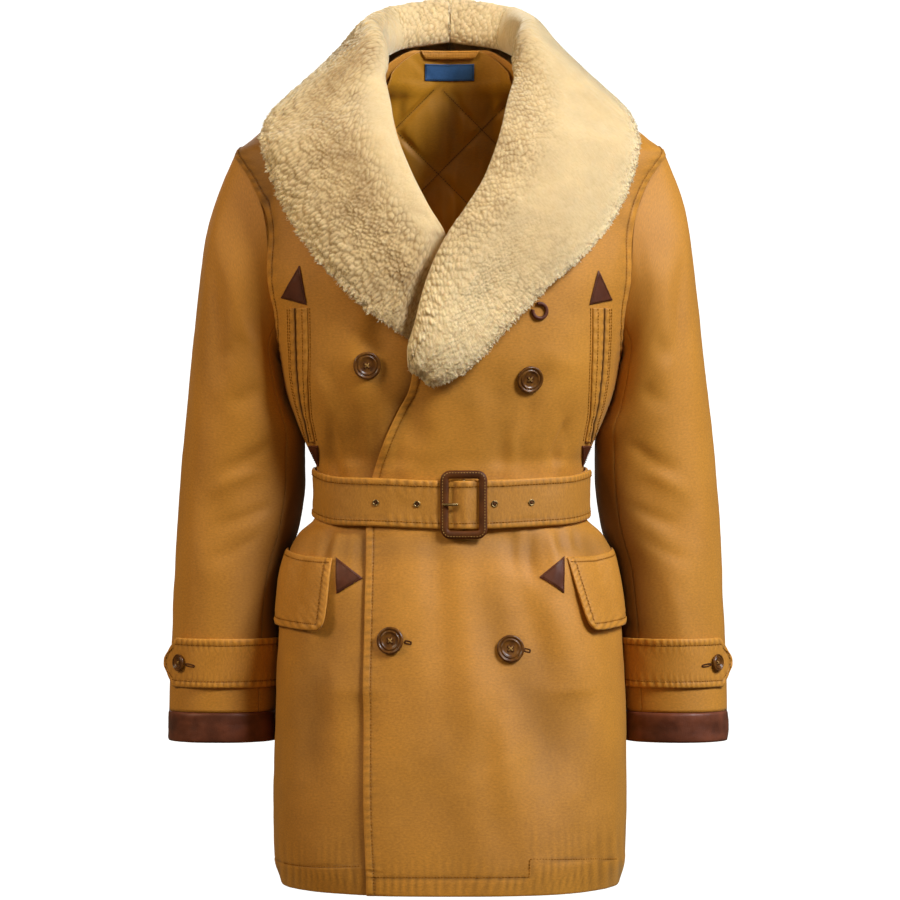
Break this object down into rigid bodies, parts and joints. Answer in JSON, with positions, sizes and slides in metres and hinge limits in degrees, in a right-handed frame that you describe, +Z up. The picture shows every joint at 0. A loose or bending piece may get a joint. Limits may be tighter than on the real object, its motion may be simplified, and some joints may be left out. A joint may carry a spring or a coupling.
{
  "type": "double-breasted belted coat",
  "caption": "Mid-thigh double-breasted cotton coat, belted at the waist, with a wide shearling shawl collar, quilted lining and leather trim, filled out as worn",
  "frame": {"origin": "where the shoulders carry the coat: the middle of the neck opening, level with its side points", "axes": "+Z up, from hem to collar; the front faces -Y; +X is the wearer's left"},
  "size_m": [0.6068, 0.3057, 0.9458],
  "materials": {
    "cloth": "tan cotton canvas, slightly napped",
    "lining": "quilted cotton with a soft sheen",
    "shearling": "cream sheepskin pile",
    "leather": "dark brown, semi-matt",
    "horn": "dark horn-look, polished",
    "brass": "antique, satin",
    "label": "woven, blue, bare"
  },
  "bodies": {
    "root": {"front_over": "cloth", "front_under": "cloth", "back": "cloth", "back_lining": "lining", "sleeve_top_over": "cloth", "sleeve_under_over": "cloth", "cuff_binding_over": "leather", "cuff_strap_over": "cloth", "cuff_button_over": "horn", "pocket_welt_inner_over": "cloth", "pocket_welt_outer_over": "cloth", "pocket_tab_top_over": "leather", "pocket_tab_bottom_over": "leather", "hip_flap_over": "cloth", "flap_tab_over": "leather", "collar_over": "shearling", "belt_loop_over": "cloth", "sleeve_top_under": "cloth", "sleeve_under_under": "cloth", "cuff_binding_under": "leather", "cuff_strap_under": "cloth", "cuff_button_under": "horn", "pocket_welt_inner_under": "cloth", "pocket_welt_outer_under": "cloth", "pocket_tab_top_under": "leather", "pocket_tab_bottom_under": "leather", "hip_flap_under": "cloth", "flap_tab_under": "leather", "collar_under": "shearling", "belt_loop_under": "cloth", "collar_back": "shearling", "belt": "cloth", "buckle": "leather", "buckle_bar": "brass", "buckle_prong": "brass", "eyelet_1": "brass", "eyelet_2": "brass", "eyelet_3": "brass", "eyelet_4": "brass", "button_upper_under": "horn", "button_upper_over": "horn", "button_lower_fastened": "horn", "button_lower_over": "horn", "button_loop": "leather", "hanger_loop": "cloth", "neck_label": "label"}
  },
  "joints": []
}
